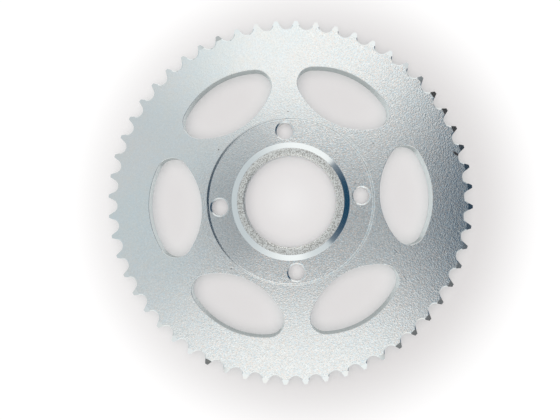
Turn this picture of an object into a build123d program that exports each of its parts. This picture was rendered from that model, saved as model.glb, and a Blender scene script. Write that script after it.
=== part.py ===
from build123d import *
import os
from math import acos, atan2, cos, degrees, hypot, pi, radians, sin

# Rear sprocket for a roller chain: one steel plate with a toothed rim, six lens-shaped lightening
# holes, four bolt holes in a turned recess, and a raised inner lip around the hub bore.
# Millimetres. Origin on the bore axis at the back face, which seats on the wheel hub. +Z points out
# of the front face. A tooth tip and a bolt hole lie on +X.

# Chain and rim
TOOTH_COUNT = 56
CHAIN_PITCH = 12.7
ROLLER_DIAMETER = 8.51
ROLLER_SEAT_PLAY = 0.05
TIP_DIAMETER = 230.8
TIP_LAND = 1.8
SIDE_BEVEL_REACH = 4.0
SIDE_BEVEL_DEPTH = 2.2

# Plate
PLATE_THICKNESS = 7.0
RIM_EDGE_WIDTH = 0.6
RIM_EDGE_DEPTH = 0.3

# Hub side: bore, lip, cone and recess, from the axis outwards
BORE_DIAMETER = 58.0
BORE_CHAMFER_WIDTH = 1.0
BORE_CHAMFER_DEPTH = 0.6
LIP_DIAMETER = 67.4
CONE_FOOT_DIAMETER = 75.0
RECESS_DIAMETER = 104.8
RECESS_DEPTH = 1.8
RECESS_FOOT_RADIUS = 0.9
RECESS_BROW_RADIUS = 0.6

# Bolt holes
BOLT_COUNT = 4
BOLT_CIRCLE_DIAMETER = 90.0
BOLT_HOLE_DIAMETER = 10.5
BOLT_HOLE_CHAMFER_WIDTH = 0.9
BOLT_HOLE_CHAMFER_DEPTH = 0.6

# Lightening holes
LENS_COUNT = 6
LENS_TURN = -1.6
LENS_INNER_REACH = 56.0
LENS_OUTER_REACH = 89.1
LENS_INNER_ARC_RADIUS = 45.2
LENS_OUTER_ARC_RADIUS = 52.7
LENS_END_RADIUS = 10.2
LENS_EDGE_RADIUS = 0.3

# How far each cutter runs past the faces it cuts
CUT_CLEARANCE = 1.0

NODE_NAME = "sprocket_plate"


def point_at(radius, angle):
    """A point on the plate, by radius and angle in degrees."""
    return (radius * cos(radians(angle)), radius * sin(radians(angle)))


def turned(point, angle):
    """The point turned about the sprocket's axis by an angle in degrees."""
    return point_at(hypot(*point), degrees(atan2(point[1], point[0])) + angle)


def tooth_gap_points():
    """Five points of one gap, symmetric about +X: tip, flank foot, seat bottom, flank foot, tip."""
    pitch_radius = CHAIN_PITCH / (2 * sin(pi / TOOTH_COUNT))
    seat_radius = ROLLER_DIAMETER / 2 + ROLLER_SEAT_PLAY
    tip_radius = TIP_DIAMETER / 2
    half_pitch = 180 / TOOTH_COUNT
    half_land = degrees(TIP_LAND / 2 / tip_radius)
    tip = point_at(tip_radius, half_pitch - half_land)
    # The straight flank is tangent to the roller seat and ends at the tip land.
    along = tip[0] - pitch_radius
    reach = hypot(along, tip[1])
    foot_angle = atan2(tip[1], along) + acos(seat_radius / reach)
    foot = (pitch_radius + seat_radius * cos(foot_angle), seat_radius * sin(foot_angle))
    bottom = (pitch_radius - seat_radius, 0)
    return [(tip[0], -tip[1]), (foot[0], -foot[1]), bottom, foot, tip]


def rim_outline():
    """The toothed outline: a roller seat, two straight flanks and a tip land for each tooth."""
    pitch_angle = 360 / TOOTH_COUNT
    gap = tooth_gap_points()
    edges = []
    for index in range(TOOTH_COUNT):
        gap_angle = (index + 0.5) * pitch_angle
        start, foot_in, bottom, foot_out, end = [turned(point, gap_angle) for point in gap]
        next_start = turned(gap[0], gap_angle + pitch_angle)
        tip_middle = point_at(TIP_DIAMETER / 2, gap_angle + pitch_angle / 2)
        edges.append(Line(start, foot_in))
        edges.append(ThreePointArc(foot_in, bottom, foot_out))
        edges.append(Line(foot_out, end))
        edges.append(ThreePointArc(end, tip_middle, next_start))
    return Wire(edges)


def toothed_plate():
    """The full-thickness plate with its teeth, a shallow chamfer round both faces."""
    plate = extrude(Face(rim_outline()), PLATE_THICKNESS)
    for end in (0, -1):
        face = plate.faces().sort_by(Axis.Z)[end]
        plate = chamfer(face.edges(), RIM_EDGE_WIDTH, RIM_EDGE_DEPTH, reference=face)
    return plate


def turned_ring(outline):
    """The solid swept by a closed outline, given in radius and height, turned about the axis."""
    return revolve(Plane.XZ * Face(Wire(outline)), Axis.Z)


def closed_lines(points):
    """Straight edges through the points and back to the first."""
    return [Line(start, end) for start, end in zip(points, points[1:] + points[:1])]


def side_bevel_cutters():
    """Two rings that bevel the sides of the teeth towards their tips."""
    slope = SIDE_BEVEL_DEPTH / SIDE_BEVEL_REACH
    start_radius = TIP_DIAMETER / 2 - SIDE_BEVEL_REACH
    end_radius = TIP_DIAMETER / 2 + CUT_CLEARANCE
    front = [
        (start_radius, PLATE_THICKNESS),
        (end_radius, PLATE_THICKNESS - slope * (end_radius - start_radius)),
        (end_radius, PLATE_THICKNESS + CUT_CLEARANCE),
        (start_radius, PLATE_THICKNESS + CUT_CLEARANCE),
    ]
    back = [(radius, PLATE_THICKNESS - height) for radius, height in front]
    return [turned_ring(closed_lines(ring)) for ring in (front, back)]


def recess_cutter():
    """The turned recess: a cone down from the lip, a flat floor, a rounded foot and a rounded brow."""
    top = PLATE_THICKNESS
    above = top + CUT_CLEARANCE
    floor = top - RECESS_DEPTH
    wall = RECESS_DIAMETER / 2
    cone_foot = (CONE_FOOT_DIAMETER / 2, floor)
    cone_slope = (CONE_FOOT_DIAMETER - LIP_DIAMETER) / 2 / RECESS_DEPTH
    cone_above = (LIP_DIAMETER / 2 - cone_slope * CUT_CLEARANCE, above)
    foot_start = (wall - RECESS_FOOT_RADIUS, floor)
    foot_end = (wall, floor + RECESS_FOOT_RADIUS)
    brow_start = (wall, top - RECESS_BROW_RADIUS)
    brow_end = (wall + RECESS_BROW_RADIUS, top)
    brow_above = (brow_end[0], above)
    # Halfway round a quarter arc, the arc is this share of its radius from each tangent line.
    bend = 1 - cos(radians(45))
    foot_middle = (wall - bend * RECESS_FOOT_RADIUS, floor + bend * RECESS_FOOT_RADIUS)
    brow_middle = (wall + bend * RECESS_BROW_RADIUS, top - bend * RECESS_BROW_RADIUS)
    outline = [
        Line(cone_above, cone_foot),
        Line(cone_foot, foot_start),
        ThreePointArc(foot_start, foot_middle, foot_end),
        Line(foot_end, brow_start),
        ThreePointArc(brow_start, brow_middle, brow_end),
        Line(brow_end, brow_above),
        Line(brow_above, cone_above),
    ]
    return turned_ring(outline)


def chamfered_bore_cutter(diameter, chamfer_width, chamfer_depth, low, high):
    """A round hole from one height to another, with a shallow conical mouth at each end."""
    wall = diameter / 2
    mouth = wall + chamfer_width
    profile = [
        (0, low - CUT_CLEARANCE),
        (mouth, low - CUT_CLEARANCE),
        (mouth, low),
        (wall, low + chamfer_depth),
        (wall, high - chamfer_depth),
        (mouth, high),
        (mouth, high + CUT_CLEARANCE),
        (0, high + CUT_CLEARANCE),
    ]
    return turned_ring(closed_lines(profile))


def bolt_hole_cutters():
    """The four bolt holes, from the back face up to the recess floor."""
    floor = PLATE_THICKNESS - RECESS_DEPTH
    cutter = chamfered_bore_cutter(
        BOLT_HOLE_DIAMETER, BOLT_HOLE_CHAMFER_WIDTH, BOLT_HOLE_CHAMFER_DEPTH, 0, floor
    )
    return [location * cutter for location in PolarLocations(BOLT_CIRCLE_DIAMETER / 2, BOLT_COUNT)]


def lens_outline():
    """One lightening hole on +X: a wide outer arc, a rounder inner arc and two round ends."""
    outer_centre = LENS_OUTER_REACH - LENS_OUTER_ARC_RADIUS
    inner_centre = LENS_INNER_REACH + LENS_INNER_ARC_RADIUS
    outer_gap = LENS_OUTER_ARC_RADIUS - LENS_END_RADIUS
    inner_gap = LENS_INNER_ARC_RADIUS - LENS_END_RADIUS
    span = inner_centre - outer_centre
    # The end arc touches both long arcs from inside, so its centre is at a known distance from each.
    along = (span**2 + outer_gap**2 - inner_gap**2) / (2 * span)
    aside = (outer_gap**2 - along**2) ** 0.5
    end_x = outer_centre + along

    def tangent_point(centre, radius):
        away = hypot(end_x - centre, aside)
        scale = radius / away
        return (centre + (end_x - centre) * scale, aside * scale)

    outer_end = tangent_point(outer_centre, LENS_OUTER_ARC_RADIUS)
    inner_end = tangent_point(inner_centre, LENS_INNER_ARC_RADIUS)
    tip = (end_x, aside + LENS_END_RADIUS)

    def mirrored(point):
        return (point[0], -point[1])

    return Wire(
        [
            ThreePointArc(mirrored(outer_end), (LENS_OUTER_REACH, 0), outer_end),
            ThreePointArc(outer_end, tip, inner_end),
            ThreePointArc(inner_end, (LENS_INNER_REACH, 0), mirrored(inner_end)),
            ThreePointArc(mirrored(inner_end), mirrored(tip), mirrored(outer_end)),
        ]
    )


def lens_hole_cutters():
    """The six lightening holes, each cut right through the plate."""
    sketch = Pos(0, 0, -CUT_CLEARANCE) * Face(lens_outline())
    cutter = extrude(sketch, PLATE_THICKNESS + 2 * CUT_CLEARANCE)
    return [Rot(0, 0, LENS_TURN + index * 360 / LENS_COUNT) * cutter for index in range(LENS_COUNT)]


def lens_edges(plate):
    """The edges of the lightening holes that lie in the plate's two faces."""
    found = []
    for edge in plate.edges().filter_by(Plane.XY):
        middle = edge.position_at(0.5)
        if hypot(middle.X, middle.Y) < LENS_OUTER_REACH + CUT_CLEARANCE:
            found.append(edge)
    return found


def sprocket_plate():
    """The finished sprocket."""
    plate = toothed_plate()
    for cutter in lens_hole_cutters():
        plate -= cutter
    plate = fillet(lens_edges(plate), LENS_EDGE_RADIUS)
    for cutter in side_bevel_cutters():
        plate -= cutter
    plate -= recess_cutter()
    for cutter in bolt_hole_cutters():
        plate -= cutter
    plate -= chamfered_bore_cutter(
        BORE_DIAMETER, BORE_CHAMFER_WIDTH, BORE_CHAMFER_DEPTH, 0, PLATE_THICKNESS
    )
    return plate


os.makedirs("parts", exist_ok=True)
finished = sprocket_plate()
finished.label = NODE_NAME
export_step(finished, f"parts/{NODE_NAME}.step")
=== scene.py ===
"""A rear sprocket lying on a pale floor, seen from above. Metres, in the CAD model's frame: +Z up."""

import math

import bpy
from mathutils import Matrix, Vector


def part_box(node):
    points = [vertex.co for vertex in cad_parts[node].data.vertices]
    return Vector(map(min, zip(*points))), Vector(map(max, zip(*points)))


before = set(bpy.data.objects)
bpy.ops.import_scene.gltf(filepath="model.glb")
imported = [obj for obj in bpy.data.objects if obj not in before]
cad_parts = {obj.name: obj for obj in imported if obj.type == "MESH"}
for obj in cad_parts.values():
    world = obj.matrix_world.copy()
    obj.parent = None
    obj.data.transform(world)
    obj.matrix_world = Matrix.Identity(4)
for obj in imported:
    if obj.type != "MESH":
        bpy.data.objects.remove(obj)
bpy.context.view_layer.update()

MM = 0.001

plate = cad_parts["sprocket_plate"]
plate_low, plate_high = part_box("sprocket_plate")
front_z = plate_high.z
tip_radius = plate_high.x

# Where the finishes meet, from the axis outwards: the rough mouth of the bore, the pitted lip, the turned
# cone, the turned recess, and the bevelled sides of the teeth.
MOUTH_RADIUS = 30.1 * MM
LIP_RADIUS = 33.7 * MM
CONE_FOOT_RADIUS = 37.5 * MM
RECESS_RADIUS = 52.4 * MM
RECESS_FLOOR_Z = front_z - 1.8 * MM
BEVEL_RADIUS = tip_radius - 7.0 * MM

# The plate is blasted most coarsely towards the first side, and the recess has painted shade towards the
# second.
BLAST_ANGLE = math.radians(-35)
RECESS_SHADE_ANGLE = math.radians(163)

# The sizes of the patterns in the zinc, as details in a metre, and how high the blasted grain stands.
GRAIN_SCALE = 1500.0
FACET_SCALE = 1600.0
COARSE_SCALE = 420.0
MOTTLE_SCALE = 200.0
CLOUD_SCALE = 26.0
WIDE_CLOUD_SCALE = 9.0
GRAIN_HEIGHT = 0.10 * MM

ZINC_BLUE = (0.80, 0.84, 0.86, 1)
ZINC_WARM = (0.83, 0.835, 0.82, 1)
CLOUD_BLUE = (0.72, 0.82, 0.85, 1)
CLOUD_WARM = (0.86, 0.81, 0.80, 1)
FACET_GREY = (0.60, 0.625, 0.63, 1)
FACET_WHITE = (1.0, 1.0, 0.99, 1)
FACET_WARM = (0.90, 0.77, 0.70, 1)
FACET_BLUE = (0.66, 0.82, 0.92, 1)
RECESS_PAINTED_SHADE = (0.55, 0.58, 0.60, 1)
CONE_COLOUR = (0.84, 0.87, 0.88, 1)
LIP_COLOUR = (0.95, 0.95, 0.92, 1)
PIT_COLOUR = (0.48, 0.465, 0.44, 1)
CUT_GREY = (0.57, 0.62, 0.62, 1)
CUT_PAINTED_LIGHT = (0.86, 0.92, 0.92, 1)
WEAR_COLOUR = (0.10, 0.08, 0.075, 1)

# Wear on the front face: distance from the axis, azimuth, length, width, and the way the mark leans.
WEAR_MARKS = (
    (0.938 * tip_radius, 11.3, 4.8 * MM, 1.7 * MM, -38),
    (0.491 * tip_radius, 87.0, 0.9 * MM, 0.6 * MM, 10),
    (0.484 * tip_radius, 139.6, 0.9 * MM, 0.7 * MM, 60),
    (0.550 * tip_radius, 30.4, 0.8 * MM, 0.6 * MM, 0),
    (0.285 * tip_radius, 54.3, 0.9 * MM, 0.6 * MM, -30),
    (0.488 * tip_radius, 223.8, 0.7 * MM, 0.6 * MM, 0),
    (0.631 * tip_radius, -30.1, 2.8 * MM, 0.35 * MM, -53),
    (0.743 * tip_radius, -38.4, 4.3 * MM, 0.22 * MM, -55),
)

# The floor, and the backdrop behind the object. The floor turns into the backdrop between two distances from
# a point a little off the axis, and glows with painted light, most in the middle of the bore, and nearer the
# object on the left than on the right.
FLOOR_HALF_SIZE = 6.0
FLOOR_GAP = 0.05 * MM
FLOOR_COLOUR = (0.90, 0.895, 0.895, 1)
BACKDROP = (1.05, 1.045, 1.045, 1)
SWEEP_MIDDLE = 11 * MM
SWEEP_TURN = math.radians(-15)
SWEEP_START = 95 * MM
SWEEP_END = 164 * MM
BORE_GLOW_RADIUS = 30 * MM
BORE_GLOW = 0.42
FLOOR_GLOW = 0.15

# The colours of the room.
ROOM_OVERHEAD = (0.42, 0.445, 0.46, 1)
ROOM_WHITE = (1.055, 1.065, 1.05, 1)
ROOM_COOL = (0.64, 0.685, 0.70, 1)
ROOM_DARK = (0.005, 0.054, 0.11, 1)
ROOM_FOOT = (0.055, 0.055, 0.056, 1)

# Compass directions in the room, counted from the right of the picture. The first is where it is coolest,
# and the second how far the whole room is turned about the object.
COOL_ANGLE = math.radians(170.5)
ROOM_TURN = math.radians(-0.5)
# At middle height, which is what the cone mirrors: where the room is coolest, and where it is dim.
MIDWAY_COOL_ANGLE = math.radians(178)
MIDWAY_DIM_ANGLE = math.radians(-50)
# Where the dark side fades, where its foot stands, and where the foot is a little lighter.
FADE_ANGLE = math.radians(-90)
FOOT_ANGLE = math.radians(-7)
GLOW_ANGLE = math.radians(-23)
# Two narrow dark posts near the floor: where each stands, and how dark it is.
POSTS = ((math.radians(244), 0.86), (math.radians(113), 0.42))

# How much of the room's light falls on the floor. Reflections show all of it.
ROOM_ON_FLOOR = 0.30

LAMP_HEIGHT = 0.9
LAMP_SIZE = 2.0
LAMP_POWER = 11.6
LAMP_COLOUR = (1.0, 0.945, 0.935)

# The camera stands 245 mm above the front face, turned 4.7 degrees and hardly tilted. Its lens and sensor
# are in millimetres.
LENS_LENGTH = 25.0714
SENSOR_WIDTH = 36
CAMERA_TURN = math.radians(4.742)
CAMERA_TILT_X = math.radians(-0.949)
CAMERA_TILT_Y = math.radians(-0.053)
CAMERA_OFFSET = Vector((-6.53 * MM, -9.51 * MM, front_z + 244.75 * MM))


# ---------------------------------------------------------------- node trees


class Nodes:
    """Short calls for building one node tree."""

    def __init__(self, tree):
        tree.nodes.clear()
        self.tree = tree

    def add(self, kind, **settings):
        node = self.tree.nodes.new(kind)
        for name, value in settings.items():
            setattr(node, name, value)
        return node

    def feed(self, socket, value):
        """Links an output to the socket, or sets a plain value on it."""
        if isinstance(value, bpy.types.NodeSocket):
            self.tree.links.new(value, socket)
        else:
            socket.default_value = value

    def end(self, kind, shader):
        """Ends the tree with an output node of this kind."""
        self.feed(self.add(kind).inputs["Surface"], shader.outputs[0])

    def math(self, operation, *values):
        node = self.add("ShaderNodeMath", operation=operation)
        for socket, value in zip(node.inputs, values):
            self.feed(socket, value)
        return node.outputs[0]

    def times(self, *values):
        product = values[0]
        for value in values[1:]:
            product = self.math("MULTIPLY", product, value)
        return product

    def rest(self, value):
        """What is left of 1."""
        return self.math("SUBTRACT", 1.0, value)

    def ramp(self, value, low, high, to_low=0.0, to_high=1.0):
        """A smooth step from to_low to to_high as value goes from low to high."""
        node = self.add("ShaderNodeMapRange", interpolation_type="SMOOTHSTEP")
        settings = {"Value": value, "From Min": low, "From Max": high, "To Min": to_low, "To Max": to_high}
        for name, number in settings.items():
            self.feed(node.inputs[name], number)
        return node.outputs["Result"]

    def band(self, value, low, high, soft):
        """1 between low and high, falling to 0 over the distance soft on each side of both ends."""
        rise = self.ramp(value, low - soft, low + soft)
        fall = self.ramp(value, high - soft, high + soft, 1.0, 0.0)
        return self.times(rise, fall)

    def mix(self, factor, first, second):
        """A mix of two colours."""
        node = self.add("ShaderNodeMix", data_type="RGBA")
        for socket, value in zip((node.inputs[0], node.inputs[6], node.inputs[7]), (factor, first, second)):
            self.feed(socket, value)
        return node.outputs[2]

    def blend(self, factor, first, second):
        """A mix of two numbers."""
        node = self.add("ShaderNodeMix", data_type="FLOAT")
        for socket, value in zip((node.inputs[0], node.inputs[2], node.inputs[3]), (factor, first, second)):
            self.feed(socket, value)
        return node.outputs[0]

    def noise(self, vector, scale, detail, roughness):
        node = self.add("ShaderNodeTexNoise")
        settings = {"Vector": vector, "Scale": scale, "Detail": detail, "Roughness": roughness}
        for name, value in settings.items():
            self.feed(node.inputs[name], value)
        return node.outputs["Fac"]

    def cells(self, vector, scale):
        """Three random numbers for each small cell."""
        node = self.add("ShaderNodeTexVoronoi")
        self.feed(node.inputs["Vector"], vector)
        self.feed(node.inputs["Scale"], scale)
        return self.split(node.outputs["Color"])

    def split(self, vector):
        node = self.add("ShaderNodeSeparateXYZ")
        self.feed(node.inputs[0], vector)
        return node.outputs

    def reach(self, x, y):
        """The distance of x, y from the axis."""
        return self.math("SQRT", self.math("ADD", self.times(x, x), self.times(y, y)))

    def along(self, x, y, angle):
        """How far x, y lies in the direction of this angle."""
        return self.math("ADD", self.times(x, math.cos(angle)), self.times(y, math.sin(angle)))


# ---------------------------------------------------------------- zinc-plated steel


class Regions:
    """The plate's surface: where a point is, and how far each finish reaches it, from 0 to 1."""

    def __init__(self, nodes, place):
        self.x, self.y, z = nodes.split(place)
        self.radius = nodes.reach(self.x, self.y)
        self.facing_x, _, facing_z = nodes.split(nodes.add("ShaderNodeNewGeometry").outputs["True Normal"])
        up = nodes.math("ABSOLUTE", facing_z)
        raised = nodes.ramp(z, RECESS_FLOOR_Z - 0.3 * MM, RECESS_FLOOR_Z - 0.1 * MM)
        in_lip = nodes.ramp(self.radius, LIP_RADIUS - 0.2 * MM, LIP_RADIUS, 1.0, 0.0)
        in_cone = nodes.band(self.radius, LIP_RADIUS, CONE_FOOT_RADIUS, 0.05 * MM)
        in_teeth = nodes.ramp(self.radius, BEVEL_RADIUS - 1.0 * MM, BEVEL_RADIUS)

        self.mouth = nodes.ramp(self.radius, MOUTH_RADIUS, MOUTH_RADIUS + 0.2 * MM, 1.0, 0.0)
        self.lip = nodes.times(in_lip, raised)
        self.cone = nodes.times(in_cone, raised)
        self.turned = nodes.ramp(self.radius, RECESS_RADIUS, RECESS_RADIUS + 1.0 * MM, 1.0, 0.0)
        self.step = nodes.band(self.radius, RECESS_RADIUS - 1.0 * MM, RECESS_RADIUS + 0.7 * MM, 0.1 * MM)
        self.bevel = nodes.times(nodes.band(up, 0.60, 0.96, 0.02), in_teeth)
        self.wall = nodes.ramp(up, 0.15, 0.45, 1.0, 0.0)
        self.blasted = nodes.times(nodes.rest(self.cone), nodes.rest(self.bevel))

        # The blasting is coarse on one side of the plate and fades out on the other.
        slant = nodes.along(self.x, self.y, BLAST_ANGLE)
        coarseness = nodes.ramp(slant, -100 * MM, 20 * MM, 0.25, 1.0)
        coarseness = nodes.math("MAXIMUM", coarseness, nodes.times(self.turned, 0.85))
        self.blast = nodes.times(coarseness, self.blasted)


def face_colour(nodes, place, here):
    """The blasted face: mottled zinc with faint blue and warm clouds, speckled by the facets of the grain."""
    mottle = nodes.noise(place, MOTTLE_SCALE, 2.0, 0.6)
    cloud = nodes.noise(place, CLOUD_SCALE, 3.0, 0.55)
    wide_cloud = nodes.noise(place, WIDE_CLOUD_SCALE, 2.0, 0.5)
    brightness, warmth, cold = nodes.cells(place, FACET_SCALE)

    colour = nodes.mix(nodes.ramp(mottle, 0.3, 0.7), ZINC_BLUE, ZINC_WARM)
    colour = nodes.mix(nodes.ramp(cloud, 0.42, 0.62, 0.0, 0.30), colour, CLOUD_BLUE)
    colour = nodes.mix(nodes.ramp(wide_cloud, 0.48, 0.68, 0.0, 0.22), colour, CLOUD_WARM)
    speckle = nodes.mix(brightness, FACET_GREY, FACET_WHITE)
    speckle = nodes.mix(nodes.ramp(warmth, 0.5, 0.9, 0.0, 0.8), speckle, FACET_WARM)
    speckle = nodes.mix(nodes.ramp(cold, 0.6, 0.9, 0.0, 0.7), speckle, FACET_BLUE)
    return nodes.mix(nodes.times(here.blast, nodes.blend(here.turned, 0.6, 0.8)), colour, speckle)


def hub_colour(nodes, place, here, colour):
    """Adds painted shade on one side of the recess, the cone and the pitted lip."""
    shade_side = nodes.along(here.x, here.y, RECESS_SHADE_ANGLE)
    recess_shade = nodes.ramp(nodes.math("DIVIDE", shade_side, here.radius), 0.15, 0.65)
    pits = nodes.ramp(nodes.noise(place, GRAIN_SCALE, 1.0, 0.5), 0.40, 0.66)

    # Painted shade: the recess is darker towards one side.
    colour = nodes.mix(nodes.times(recess_shade, here.turned, 0.52), colour, RECESS_PAINTED_SHADE)
    colour = nodes.mix(here.cone, colour, CONE_COLOUR)
    colour = nodes.mix(nodes.times(here.lip, 0.8), colour, LIP_COLOUR)
    return nodes.mix(nodes.times(pits, here.lip), colour, PIT_COLOUR)


def wall_colour(nodes, here, colour):
    """Adds the cut walls outside the hub, with painted light that makes them brighter where they face left or
    right.
    """
    # Painted light: walls facing left or right are lighter.
    sideways = nodes.ramp(nodes.math("ABSOLUTE", here.facing_x), 0.65, 0.95)
    painted_light_cut = nodes.mix(sideways, CUT_GREY, CUT_PAINTED_LIGHT)
    return nodes.mix(nodes.times(here.wall, nodes.rest(here.turned)), colour, painted_light_cut)


def wear_mark(nodes, here, reach, azimuth, length, width, lean):
    """A soft-edged stroke on the plate: where its middle is, how long and wide it is, and how it leans."""
    turn = math.radians(azimuth)
    slope = math.radians(lean)
    from_x = nodes.math("SUBTRACT", here.x, reach * math.cos(turn))
    from_y = nodes.math("SUBTRACT", here.y, reach * math.sin(turn))
    lengthways = nodes.along(from_x, from_y, slope)
    sideways = nodes.along(from_x, from_y, slope + math.pi / 2)
    far = nodes.reach(nodes.times(lengthways, 2 / length), nodes.times(sideways, 2 / width))
    return nodes.ramp(far, 0.6, 1.3, 1.0, 0.0)


def worn_colour(nodes, here, colour):
    """Adds the wear marks."""
    marks = 0.0
    for wear in WEAR_MARKS:
        marks = nodes.math("MAXIMUM", marks, wear_mark(nodes, here, *wear))
    return nodes.mix(nodes.times(marks, 0.9), colour, WEAR_COLOUR)


def zinc_roughness(nodes, coarse, here):
    """Glossy faces, bevels and cone, a softer lip and recess edge, and matt cut walls and bore mouth."""
    rough = nodes.ramp(coarse, 0.25, 0.75, 0.08, 0.13)
    rough = nodes.blend(here.cone, rough, 0.15)
    rough = nodes.blend(here.lip, rough, 0.30)
    rough = nodes.blend(here.bevel, rough, 0.10)
    rough = nodes.blend(here.step, rough, 0.25)
    rough = nodes.blend(here.wall, rough, nodes.blend(here.turned, 0.5, 0.3))
    return nodes.blend(here.mouth, rough, 0.55)


def zinc_bump(nodes, place, coarse, here):
    """The blasted grain."""
    grain = nodes.noise(place, GRAIN_SCALE, 1.0, 0.6)
    bump = nodes.add("ShaderNodeBump")
    bump.inputs["Strength"].default_value = 1.0
    bump.inputs["Distance"].default_value = GRAIN_HEIGHT
    height = nodes.math("ADD", nodes.times(grain, 0.9, here.blast), nodes.times(coarse, 0.25, here.blasted))
    nodes.feed(bump.inputs["Height"], height)
    return bump.outputs[0]


def zinc_material():
    """Bright zinc on blasted steel: frosted faces, a smooth turned cone, a pitted lip, rough cut walls."""
    material = bpy.data.materials.new("zinc_plated_steel")
    material.use_nodes = True
    nodes = Nodes(material.node_tree)
    place = nodes.add("ShaderNodeTexCoord").outputs["Object"]
    here = Regions(nodes, place)
    coarse = nodes.noise(place, COARSE_SCALE, 2.0, 0.6)

    colour = face_colour(nodes, place, here)
    colour = hub_colour(nodes, place, here, colour)
    colour = wall_colour(nodes, here, colour)
    colour = worn_colour(nodes, here, colour)

    shader = nodes.add("ShaderNodeBsdfPrincipled")
    shader.inputs["Metallic"].default_value = 1.0
    nodes.feed(shader.inputs["Base Color"], colour)
    nodes.feed(shader.inputs["Roughness"], zinc_roughness(nodes, coarse, here))
    nodes.feed(shader.inputs["Normal"], zinc_bump(nodes, place, coarse, here))
    nodes.end("ShaderNodeOutputMaterial", shader)
    return material


# ---------------------------------------------------------------- floor


def floor_material():
    """Pale paint that turns into the shining backdrop well outside the object, and glows with painted light
    in the middle of the bore.
    """
    material = bpy.data.materials.new("floor_white")
    material.use_nodes = True
    material.cycles.emission_sampling = "NONE"
    nodes = Nodes(material.node_tree)
    x, y, _ = nodes.split(nodes.add("ShaderNodeTexCoord").outputs["Object"])
    paint = nodes.add("ShaderNodeBsdfPrincipled")
    paint.inputs["Base Color"].default_value = FLOOR_COLOUR
    paint.inputs["Roughness"].default_value = 0.8
    paint.inputs["Specular IOR Level"].default_value = 0.1
    glow = nodes.add("ShaderNodeEmission")
    glow.inputs["Color"].default_value = BACKDROP

    # Painted light: the glow begins nearer the object on the left than on the right.
    middle_x = SWEEP_MIDDLE * math.cos(SWEEP_TURN - CAMERA_TURN)
    middle_y = SWEEP_MIDDLE * math.sin(SWEEP_TURN - CAMERA_TURN)
    away = nodes.reach(nodes.math("SUBTRACT", x, middle_x), nodes.math("SUBTRACT", y, middle_y))
    outside = nodes.ramp(away, SWEEP_START, SWEEP_END)
    # Painted light: the floor glows most in the middle of the bore.
    painted_bore_light = nodes.ramp(nodes.reach(x, y), 0.0, BORE_GLOW_RADIUS, BORE_GLOW, FLOOR_GLOW)

    share = nodes.add("ShaderNodeMixShader")
    nodes.feed(share.inputs[0], nodes.math("MAXIMUM", outside, painted_bore_light))
    nodes.feed(share.inputs[1], paint.outputs[0])
    nodes.feed(share.inputs[2], glow.outputs[0])
    nodes.end("ShaderNodeOutputMaterial", share)
    return material


def floor_piece():
    """A plain floor, just under the back face."""
    half = FLOOR_HALF_SIZE
    level = plate_low.z - FLOOR_GAP
    corners = [(-half, -half, level), (half, -half, level), (half, half, level), (-half, half, level)]
    mesh = bpy.data.meshes.new("floor")
    mesh.from_pydata(corners, [], [(0, 1, 2, 3)])
    mesh.materials.append(floor_material())
    floor = bpy.data.objects.new("floor", mesh)
    bpy.context.scene.collection.objects.link(floor)


# ---------------------------------------------------------------- the room


class Direction:
    """A direction in the room. x points to the right of the picture, y to its top and z up."""

    def __init__(self, nodes):
        turn = nodes.add("ShaderNodeMapping", vector_type="POINT")
        turn.inputs["Rotation"].default_value = (0, 0, CAMERA_TURN + ROOM_TURN)
        nodes.feed(turn.inputs["Vector"], nodes.add("ShaderNodeTexCoord").outputs["Generated"])
        self.nodes = nodes
        self.x, self.y, self.z = nodes.split(turn.outputs[0])
        self.across = nodes.reach(self.x, self.y)
        self.right = self.toward(0)
        # 1 at the height that the cone mirrors, and 1 near the floor.
        self.midway = nodes.band(self.z, 0.40, 0.66, 0.05)
        self.near_floor = nodes.ramp(self.z, 0.10, 0.26, 1.0, 0.0)

    def toward(self, angle):
        """1 in this compass direction, 0 square to it and -1 opposite."""
        ahead = self.nodes.along(self.x, self.y, angle)
        return self.nodes.math("DIVIDE", ahead, self.nodes.math("MAXIMUM", self.across, 0.001))

    def near(self, angle, inner, outer):
        """1 within inner degrees of this compass direction, and 0 beyond outer degrees."""
        far_edge = math.cos(math.radians(outer))
        near_edge = math.cos(math.radians(inner))
        return self.nodes.ramp(self.toward(angle), far_edge, near_edge)


def bright_room(nodes, look):
    """Grey overhead and white elsewhere, but cooler on the left and, at middle height, at the lower right."""
    colour = nodes.mix(nodes.ramp(nodes.math("ABSOLUTE", look.y), 0.04, 0.35), ROOM_OVERHEAD, ROOM_WHITE)
    left = nodes.ramp(look.toward(COOL_ANGLE), 0.17, 1.0)
    midway_left = nodes.ramp(look.toward(MIDWAY_COOL_ANGLE), -0.1, 0.8)
    midway_dim = nodes.ramp(look.toward(MIDWAY_DIM_ANGLE), 0.85, 1.0, 0.0, 0.8)
    cool = nodes.blend(look.midway, left, nodes.math("MAXIMUM", midway_left, midway_dim))
    return nodes.mix(nodes.times(cool, nodes.ramp(look.across, 0.16, 0.24)), colour, ROOM_COOL)


def dark_side(nodes, look):
    """The share of the dark side: sharp at middle height, softer elsewhere, with a bright gap low down."""
    fade = nodes.ramp(look.toward(FADE_ANGLE), 0.0, 1.0, 1.0, 0.7)
    soft = nodes.times(nodes.ramp(look.right, 0.50, 0.94), fade)
    sharp = nodes.times(nodes.ramp(look.right, 0.69, 0.76), nodes.ramp(look.right, 0.76, 0.95, 0.82, 0.98))
    side = nodes.blend(look.midway, soft, sharp)
    below_ceiling = nodes.ramp(nodes.blend(0.4, look.across, look.x), 0.31, 0.52)
    gap = nodes.times(nodes.band(look.z, 0.20, 0.29, 0.04), 0.8)
    return nodes.times(side, below_ceiling, nodes.rest(gap))


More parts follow.
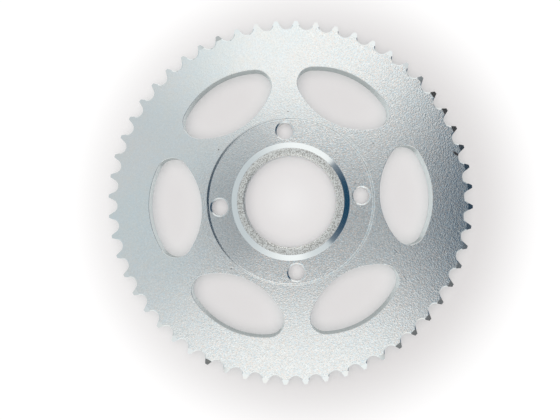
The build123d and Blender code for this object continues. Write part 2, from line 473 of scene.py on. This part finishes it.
def dark_foot(nodes, look):
    """The share of the foot of the dark side and of the posts, near the floor."""
    foot = nodes.ramp(look.toward(FOOT_ANGLE), 0.60, 0.67)
    # At the far right the blue of the dark side shows through.
    thinner = nodes.ramp(look.right, 0.90, 1.0, 1.0, 0.5)
    dark = nodes.times(foot, thinner, look.near_floor)
    post_height = nodes.ramp(look.z, 0.20, 0.30, 1.0, 0.0)
    for angle, strength in POSTS:
        post = nodes.times(look.near(angle, 2.5, 5.5), post_height, strength)
        dark = nodes.math("MAXIMUM", dark, post)
    return dark


def studio_world():
    """A soft room, dark blue on the right. The camera sees the backdrop in its place."""
    world = bpy.data.worlds.new("studio")
    bpy.context.scene.world = world
    world.use_nodes = True
    world.cycles.sampling_method = "NONE"
    nodes = Nodes(world.node_tree)
    look = Direction(nodes)

    colour = nodes.mix(dark_side(nodes, look), bright_room(nodes, look), ROOM_DARK)
    colour = nodes.mix(dark_foot(nodes, look), colour, ROOM_FOOT)
    glow = nodes.times(look.near(GLOW_ANGLE, 9, 20), look.near_floor, 0.1)
    colour = nodes.mix(glow, colour, ROOM_WHITE)
    ray = nodes.add("ShaderNodeLightPath").outputs
    colour = nodes.mix(ray["Is Camera Ray"], colour, BACKDROP)

    background = nodes.add("ShaderNodeBackground")
    nodes.feed(background.inputs["Color"], colour)
    nodes.feed(background.inputs["Strength"], nodes.ramp(ray["Is Diffuse Ray"], 0.0, 1.0, 1.0, ROOM_ON_FLOOR))
    nodes.end("ShaderNodeOutputWorld", background)


# ---------------------------------------------------------------- lamp and camera


def overhead_lamp():
    """A square soft lamp over the object, which lights the floor and doesn't show in the metal."""
    data = bpy.data.lights.new("lamp_overhead", "AREA")
    data.shape = "SQUARE"
    data.size = LAMP_SIZE
    data.energy = LAMP_POWER
    data.color = LAMP_COLOUR
    light = bpy.data.objects.new("lamp_overhead", data)
    light.location = (0, 0, LAMP_HEIGHT)
    light.visible_glossy = False
    light.visible_camera = False
    bpy.context.scene.collection.objects.link(light)


def camera_above():
    """The camera, placed above the hub with its picture turned about the bore axis."""
    turn = Matrix.Rotation(CAMERA_TURN, 3, "Z")
    tilt = Matrix.Rotation(CAMERA_TILT_Y, 3, "Y") @ Matrix.Rotation(CAMERA_TILT_X, 3, "X")
    data = bpy.data.cameras.new("camera")
    data.sensor_width = SENSOR_WIDTH
    data.lens = LENS_LENGTH
    data.clip_start = 10 * MM
    camera = bpy.data.objects.new("camera", data)
    place = Matrix.Translation(turn.transposed() @ CAMERA_OFFSET)
    camera.matrix_world = place @ (tilt @ turn).transposed().to_4x4()
    bpy.context.scene.collection.objects.link(camera)
    bpy.context.scene.camera = camera


plate.data.materials.clear()
plate.data.materials.append(zinc_material())
floor_piece()
studio_world()
overhead_lamp()
camera_above()
bpy.context.scene.view_settings.view_transform = "Standard"
